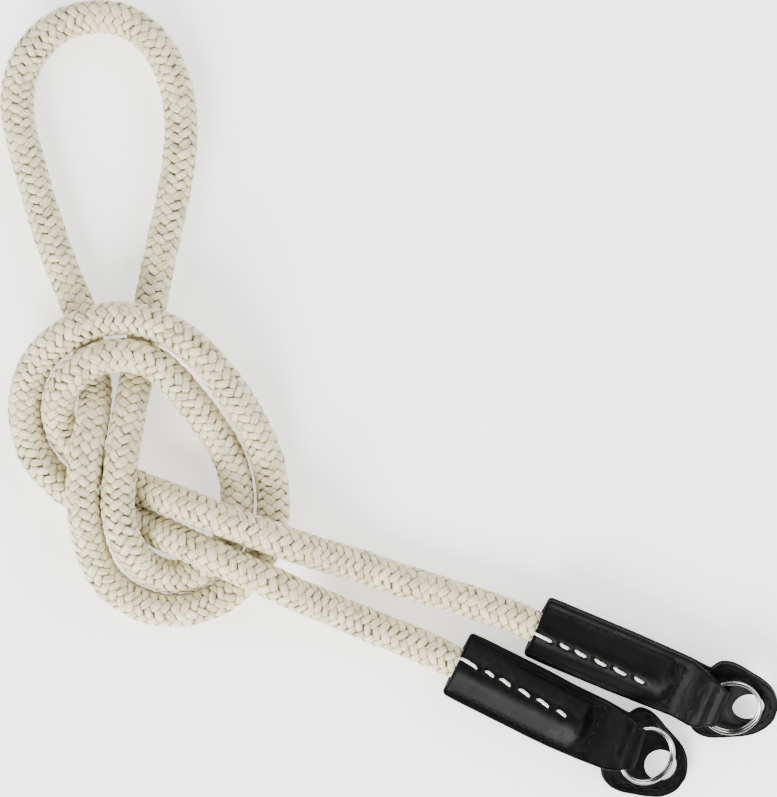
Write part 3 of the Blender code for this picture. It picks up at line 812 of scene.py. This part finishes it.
def ripples(q, v, seed, amount):
    # the slight unevenness of worked leather: waves that run every way
    draw = np.random.default_rng(seed)
    total = np.zeros_like(q)
    count, least, most = skin["waves"]
    for _ in range(count):
        turn, wave, phase = draw.uniform(0, pi), draw.uniform(least, most) * mm, draw.uniform(0, 2 * pi)
        total += np.sin((q * cos(turn) + v * sin(turn)) * 2 * pi / wave + phase) * wave / (6 * mm)
    return amount * total / 3


pressed = {
    # depth and half-width of what is pressed into the leathers
    "side stitches": (0.16 * mm, 0.5 * mm),
    "cross stitches": (0.2 * mm, 0.6 * mm),
    "guard stitches": (0.32 * mm, 0.5 * mm),
    "guard edge": (-0.1 * mm, 0.5 * mm),
    "lashing hole": (0.5 * mm, 0.6 * mm),
    "round a hole": (0.12 * mm, 1.5 * mm),
    "white thread": (0.2 * mm, 0.9 * mm),
}


def pressedBy(what, offset):
    depth, width = pressed[what]
    return depth * groove(offset, width)


lashing = {
    # where each white stitch starts and ends along the sleeve, in mm
    "stitches": ((-0.4, 6.0), (8.0, 10.8), (12.3, 16.0), (18.1, 21.8), (23.6, 27.7), (29.8, 32.9)),
    "length": 32 * mm,
    "width": 0.84 * mm,
    "height": 0.7 * mm,
    "slant": -9.0,
    "bow": 0.13 * mm,
    "lift": 0.24,  # mm, its middle above the leather, and how far its ends dip
    "dip": 0.82,
    "first": (0.9 * mm, 0.5 * mm, 0.26 * mm, 1.67 * mm),  # its start: back, aside, height, depth
}


def lashingSpans(end):
    # the two ends of each white stitch: along and across
    along, first, last = end["lashing"]
    spans = []
    for k, (start, finish) in enumerate(lashing["stitches"]):
        start = start * mm + (along if k else 0.0)
        finish = finish * mm + along
        middle, half = (start + finish) / 2, (finish - start) / 2
        across = first + (last - first) * middle / lashing["length"]
        swing = half * sin(radians(lashing["slant"]))
        spans.append(((middle - half, across - swing), (middle + half, across + swing)))
    return spans


def sleeveRelief(end, u, v, seed, lashed):
    raised = ripples(u, v, seed, sleeve["rippled"])
    onSleeve = rising(u, 0.5, 1.5) * falling(u - crossSeam, 0.5, 1)
    raised -= pressedBy("side stitches", np.abs(v) - (sleeveHalf(u) - sleeve["edge"])) * onSleeve
    raised -= pressedBy("cross stitches", u - crossSeam) * falling(np.abs(v), 7.2, 0.8)
    if lashed:
        for k, (near, far) in enumerate(lashingSpans(end)):
            for place in ((far,) if k == 0 else (near, far)):
                away = np.hypot(u - place[0], v - place[1])
                raised -= pressedBy("lashing hole", away) + pressedBy("round a hole", away)
            t = np.clip((u - near[0]) / (far[0] - near[0]), 0, 1)
            aside = v - (near[1] + (far[1] - near[1]) * t)
            inSpan = rising(u - near[0], 0, 1) * falling(u - far[0], 0, 1)
            raised -= pressedBy("white thread", aside) * inSpan
    return raised


def creases(end, q, v):
    # fine folds across the neck of the bent tab, which fade in and out
    shift = end["creaseShift"]
    bent = q / mm + 0.28 * np.sin(v / mm * 0.9 + shift) + 0.12 * np.sin(v / mm * 2.3 + 2 * shift)
    fading = 0.5 + 0.5 * np.sin(v / mm * 0.7 + 1.3 * q / mm + shift)
    return np.sin(bent * 5.3 + 1.5 * np.sin(bent * 1.1)) * fading


sheenSpots = {
    # painted sheen: how strong, then the middle along and aside and the reach along and aside, in mm
    "a": ((0.75, 36.0, 0.2, 1.9, 2.0), (0.7, 37.8, 1.9, 1.5, 1.4), (0.3, 37.8, -1.5, 1.0, 2.0),
          (0.3, 2.0, 7.2, 2.5, 0.8), (0.22, 41.8, 3.2, 2.2, 2.0), (0.2, 14.0, -6.0, 8.0, 1.5)),
    "b": ((0.6, 34.8, -3.2, 2.4, 1.8), (0.4, 31.0, -4.6, 3.0, 1.2), (0.25, 50.2, -4.6, 0.9, 1.8)),
}


def sheenOnTop(key, q, v):
    # painted sheen, grey in the black where highlights fall: over the cord's end and across the tab
    total = 0.0
    for sheenGrey, middleQ, middleV, longways, aside in sheenSpots[key]:
        total = total + sheenGrey * groove(q - middleQ * mm, longways * mm) * groove(v - middleV * mm, aside * mm)
    across = np.maximum(creases(ends[key], q, v), 0.0)
    # on end a: painted highlights on the crests of the neck's creases and in a band before the fold
    if key == "a":
        neck = rising(q, 41, 4) * falling(q, 50, 2) * falling(v, 6.5, 6)
        return total + 0.95 * neck * across + 0.7 * groove(q - 52.3 * mm, 1.1 * mm)
    # on end b: painted sheen down the channel's lower side and on the creases of the neck
    side = falling(v, 0.2, 2.5) * rising(v, -6.6, 1.2) * rising(q, 3, 10) * falling(q, 37.5, 3)
    neck = groove(q - 48 * mm, 1.4 * mm) * groove(v + 3 * mm, 3.4 * mm)
    return total + 0.26 * side + 0.5 * neck * across


def guardRelief(u, v, away, seed, middle):
    # the stitching is pressed in, but not beside the hole, and the edge outside it stands up a little
    fromStitches = away - guard["edge"]
    farFromHole = np.hypot(u - middle[0], v - middle[1]) - guard["holeRadius"] > guard["stitchesFromHole"]
    sunk = pressedBy("guard stitches", fromStitches) * farFromHole
    sunk = sunk + pressedBy("guard edge", fromStitches + mm)
    return ripples(u, v, seed, guard["rippled"]) - sunk * rising(u, 50, 2)


def dressEnd(key):
    end = ends[key]
    seed, tip = end["seed"], guard["tip"]

    def lowerPlace(u, v):
        return drawnAside(end, u, v, -sleeveHeight(u, v, "back") - drooped(end, u))

    def lowerRelief(u, v, away):
        onGuard = guardRelief(u, v, away, seed + 1, holeMiddle)
        return 0 * u, np.where(u > sleeve["reliefEnd"], onGuard, sleeveRelief(end, u, v, seed + 2, False))

    circle = np.linspace(0, 2 * pi, 120, endpoint=False)
    holeAlong = end["hole"][0] - drawnAlong(end, end["hole"][0])
    holeMiddle = np.array((holeAlong, end["hole"][1] - tableAt(end["aside"], holeAlong)))
    hole = holeMiddle + guard["holeRadius"] * beside(np.cos(circle), np.sin(circle))
    lower = leatherSheet(
        "sleeve_back_" + key + "_leather", end, bothSides(lowerHalf, sleeve["mouth"], tip, 900), lowerPlace,
        lambda q: sleeve["leather"], lowerRelief, (hole,))
    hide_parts("sleeve_back_" + key)

    def facingPlace(u, v):
        return drawnAside(end, u, v, guard["facingMiddle"] - drooped(end, u))

    def facingHalf(u):
        return lowerHalf(u) - guard["facingInset"] * smoothStep((sleeve["notch"] + 0.5 * mm - u) / (1.0 * mm))

    def facingRelief(u, v, away):
        return guardRelief(u, v, away, seed + 3, holeMiddle), 0 * u

    def facingSheenPaint(u, v):
        # painted sheen on the facing: along its rim and over its middle
        fromEdge = lowerHalf(u) - np.abs(v)
        sheenGrey = groove(fromEdge - 0.9 * mm, 0.9 * mm) * rising(u, 56, 8) + 0.7 * rising(fromEdge, 3.2, 2)
        return end["facingWear"] * sheenGrey

    facing = leatherSheet(
        "guard_facing_" + key + "_leather", end,
        bothSides(facingHalf, guard["facingStart"], tip - 0.15 * mm, 700), facingPlace,
        lambda q: guard["facing"], facingRelief, (hole,), facingSheenPaint)
    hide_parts("guard_facing_" + key)

    # q runs along the upper leather, past the turn of its fold to its tucked end
    far, pathU, pathW = tabPath(end)
    turn = far[np.argmax(pathU)]

    def onPath(q):
        return np.interp(q, far, pathU), np.interp(q, far, pathW)

    def topPlace(q, v):
        u, w = onPath(q)
        onSleeve = q <= crossSeam
        aside = drawnAside(end, np.minimum(q, crossSeam), v, 0.0)[1]
        return np.where(onSleeve, q, u), aside, np.where(onSleeve, sleeveHeight(q, v), w)

    def topHalf(q):
        u = np.where(q <= crossSeam, q, onPath(q)[0])
        half = np.where(u <= sleeve["notch"], sleeveHalf(u), tableAt(tab["halves"], u))
        return half - tab["tuckedInset"] * rising(q - turn, 0, 3)

    def topRelief(q, v, away):
        # the ring's wire shows through the tab
        upper = rising(q, 46, 1) * falling(q - turn, -1, 1)
        height, width, roundness = tab["ridge"]
        wireAt = ring["middle"] - np.sqrt(np.maximum(ring["radius"] ** 2 - (roundness * v) ** 2, 0.0))
        ridge = height * groove(onPath(q)[0] - wireAt, width) * upper
        creased = tab["creased"] * creases(end, q, v) * rising(q, 41, 3) * upper
        onTab = ripples(q, v, seed + 5, tab["rippled"]) + ridge + creased
        onSleeve = q < sleeve["reliefEnd"]
        raised = np.where(onSleeve, sleeveRelief(end, q, v, seed + 4, True), onTab)
        return raised, np.where(onSleeve, 0.0, -0.6 * ridge)

    def topThickness(q):
        thick, thin = tab["thickness"]
        onTab = (thick - sleeve["leather"]) * rising(q, 46, 3)
        return sleeve["leather"] + onTab + (thin - thick) * rising(q - turn, -2, 3)

    top = leatherSheet(
        "sleeve_top_" + key + "_leather", dict(end, bend=end["tabBend"]),
        bothSides(topHalf, sleeve["mouth"], far[-1], 1400), topPlace, topThickness, topRelief,
        rubbed=lambda q, v: sheenOnTop(key, q, v))
    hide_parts("sleeve_top_" + key)
    stitchEnd(key, end, (topPlace, topRelief, topThickness), (lowerPlace, lowerRelief),
              (facingPlace, facingRelief))
    print("leather and stitches of end", key)


def onSkin(end, sheet, q, v, lift, side=1):
    # points on a sheet's upper or lower skin, at its stitching, and which way is out there
    place, relief = sheet[:2]
    thick = sheet[2](q) if len(sheet) > 2 else sleeve["leather"]
    tiny = 0.05 * mm
    normal = side * outOfSheet(place, q, v, tiny)
    raised = relief(q, v, guard["edge"])[0 if side > 0 else 1]
    local = beside(*place(q, v)) + normal * (thick / 2 + raised + lift)[:, None]
    points, further = (endPoints(end, *spots.T) for spots in (local, local + normal * tiny))
    return points, unit(further - points)


thread = {
    "pitch": 2.55 * mm,
    "length": 2.15 * mm,
    "width": 0.62 * mm,
    "height": 0.42 * mm,
    "dip": (-0.32, -0.02, 0.06, 0.07, 0.06, -0.02, -0.32),  # mm, above the leather from hole to hole
    "tone": (0.28, 0.05),
    "sideRows": (1.6 * mm, 0.6 * mm),  # from the mouth, and how far before the cross seam they end
    "crossRow": 6.4 * mm,  # half its length
    "guardRow": 50.6 * mm,
}


def threadPiece(name, runs, width, height, finish, twist=0.0):
    # all stitches of one kind on one end: rounded strands, of three plies if twisted
    sides, squareness = (12, 4) if twist else (8, 8)
    turn = np.linspace(0, 2 * pi, sides, endpoint=False)
    allPoints, allFaces, allPlaces, tones, used = [], [], [], [], 0
    draw = np.random.default_rng(len(runs))
    for points, out in runs:
        count = len(points)
        ahead = unit(np.gradient(points, axis=0))
        aside = unit(np.cross(ahead, out))
        up = np.cross(aside, ahead)
        t = np.linspace(-1, 1, count)[:, None]
        fullness = bulge(t, 0.97, squareness, 0.5)
        plies = 1 + 0.13 * np.cos(3 * turn + twist * t) if twist else 1.0
        wide = width / 2 * np.cos(turn) * fullness * plies
        high = height / 2 * np.sin(turn) * fullness * plies
        allPoints.append(points[:, None] + wide[..., None] * aside[:, None] + high[..., None] * up[:, None])
        allFaces.append(gridFaces(count, sides, True)[:, ::-1] + used)
        far = lengthAlong(points) / mm + draw.uniform(0, 300)
        allPlaces.append(beside(np.repeat(far, sides), np.tile(turn * width / mm / 2, count)))
        tones.append(np.full(count * sides, draw.normal(*thread["tone"])))
        used += count * sides
    faces = np.concatenate(allFaces)
    piece = addMesh(name, np.concatenate(allPoints), faces, finishes[finish])
    carryMap(piece, faces, np.concatenate(allPlaces))
    carryValues(piece, "tone", np.concatenate(tones))
    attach(piece, "root")
    return piece


def stitchRuns(end, sheet, q, v, side):
    # a row of stitches along this line of a sheet, each dipping into its holes
    far = lengthAlong(beside(q, v))
    count = max(int(far[-1] / thread["pitch"]), 1)
    dip = np.array(thread["dip"]) * mm
    runs = []
    for k in range(count):
        at = (k + 0.5) * far[-1] / count + thread["length"] / 2 * np.linspace(-1, 1, len(dip))
        runs.append(onSkin(end, sheet, np.interp(at, far, q), np.interp(at, far, v), dip, side))
    return runs


def stitchEnd(key, end, top, lower, facing):
    start, short = thread["sideRows"]
    u = np.linspace(start, crossSeam - short, 200)
    v = np.linspace(-thread["crossRow"], thread["crossRow"], 60)
    runs = []
    for sheet, side in ((top, 1), (lower, -1)):
        for hand in (1, -1):
            runs += stitchRuns(end, sheet, u, hand * (sleeveHalf(u) - sleeve["edge"]), side)
        runs += stitchRuns(end, sheet, np.full_like(v, crossSeam), v, side)
    # round the guard, inside its edge
    egg = bothSides(guardHalf, sleeve["notch"] + 0.01 * mm, guard["tip"], 500)
    outline = turnedLeft(evenLoop(egg, 0.2 * mm))
    line = outline + guard["edge"] * inward(outline, 3)
    line = np.roll(line, -int(np.argmin(line[:, 0])), axis=0)
    line = line[line[:, 0] > thread["guardRow"]]
    for sheet, side in ((facing, 1), (lower, -1)):
        runs += stitchRuns(end, sheet, line[:, 0], line[:, 1], side)
    threadPiece("edge_stitches_" + key, runs, thread["width"], thread["height"], "stitches")
    white = []
    for k, (near, far) in enumerate(lashingSpans(end)):
        share = np.linspace(0, 1, 15)
        q = near[0] + (far[0] - near[0]) * share
        v = near[1] + (far[1] - near[1]) * share + lashing["bow"] * 4 * share * (1 - share)
        dip = (lashing["lift"] - lashing["dip"] * np.abs(2 * share - 1) ** 5) * mm
        if k == 0:
            # the first comes out of the braid before the mouth and steps up onto the leather
            back, aside, lift, depth = lashing["first"]
            q = q - back * (1 - share) ** 3
            v = v - aside * (1 - share) ** 2
            dip = np.where(share < 0.5, lift - depth * smoothStep((0.2 - share) / 0.22), dip)
        white.append(onSkin(end, top, q, v, dip))
    threadPiece("lashing_" + key, white, lashing["width"], lashing["height"], "lashing", 5.0)


for key in ends:
    dressEnd(key)


# Split rings

def wireSection():
    # a rounded rectangle, anticlockwise, out from the ring's middle and up
    width, height, corner = ring["wireWidth"] / 2, ring["wireHeight"] / 2, ring["corner"]
    points = []
    for k, (x, z) in enumerate(((1, 1), (-1, 1), (-1, -1), (1, -1))):
        for turn in np.radians(90 * k + np.array((0, 30, 60, 90))):
            points.append((x * (width - corner) + corner * cos(turn),
                           z * (height - corner) + corner * sin(turn)))
    return np.array(points)


def splitRing(key):
    # two turns of flat wire, which climbs from one to the other inside the tab's fold
    end = ends[key]
    section = wireSection()
    steps = int(ring["turns"] / ring["step"])
    swept = np.linspace(0, ring["turns"], steps + 1)
    turn = np.radians(ring["start"] + swept)[:, None]
    risen = smoothStep((swept - (ring["turns"] - ring["riser"]) / 2) / ring["riser"])
    # the two cut ends are eased down to a smaller section
    fromCut = np.minimum(swept, ring["turns"] - swept) / ring["easing"]
    ease = np.minimum(1, ring["cutSize"] + (1 - ring["cutSize"]) * fromCut)[:, None]
    middleUp = ring["under"] + ring["wireHeight"] / 2 + (ring["wireHeight"] + ring["turnGap"]) * risen
    middleOut = ring["radius"] + ring["stagger"] * (risen - 0.5)
    out = middleOut[:, None] + section[:, 0] * ease
    u, w = tilted(end, ring["middle"] + out * np.cos(turn), middleUp[:, None] + section[:, 1] * ease)
    # the ring keeps its shape where the end is bent, so it is turned as a whole
    bent = radians(end["bend"]) * (ring["middle"] - crossSeam)
    u, v = rotated(u - ring["middle"], out * np.sin(turn), -bent)
    straight = dict(end, bend=0.0)
    anchor, plain = (endPoints(e, ring["middle"], 0.0, sleeve["channelRise"]) for e in (end, straight))
    slidAlong, slidAside = end["ring"]
    points = endPoints(straight, u + ring["middle"] + slidAlong, v + slidAside, w) + (anchor - plain)
    columns = len(section)
    faces = gridFaces(steps + 1, columns, True)[:, ::-1].tolist()
    faces += [tuple(range(columns)), tuple(steps * columns + i for i in reversed(range(columns)))]
    made = addMesh("split_ring_" + key + "_wire", points, faces, finishes["ring"])
    made.data.set_sharp_from_angle(angle=radians(50))
    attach(made, "root")
    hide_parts("split_ring_" + key)


for key in ends:
    splitRing(key)
print("rings")


# Table and light

tableCorners = [(-9, -9, 0), (9, -9, 0), (9, 9, 0), (-9, 9, 0)]
floorMesh = addMesh("table", tableCorners, [(0, 1, 2, 3)], floorMaterial())
for lightName, place, size, power, colour in studio["lights"]:
    lightData = bpy.data.lights.new(lightName, "AREA")
    lightData.size = size
    lightData.energy = power
    lightData.color = colour
    light = addObject(lightName, lightData)
    light.location = place
    x, y, z = np.array(studio["aim"]) - np.array(place)
    light.rotation_euler = (atan2(hypot(x, y), -z), 0.0, atan2(-x, y))
world = bpy.data.worlds.new("studio")
world.use_nodes = True
wire(world.node_tree.nodes["Background"],
     {"Color": (1.0, 1.0, 1.0, 1.0), "Strength": studio["ambient"]})
bpy.context.scene.world = world

print("finished")
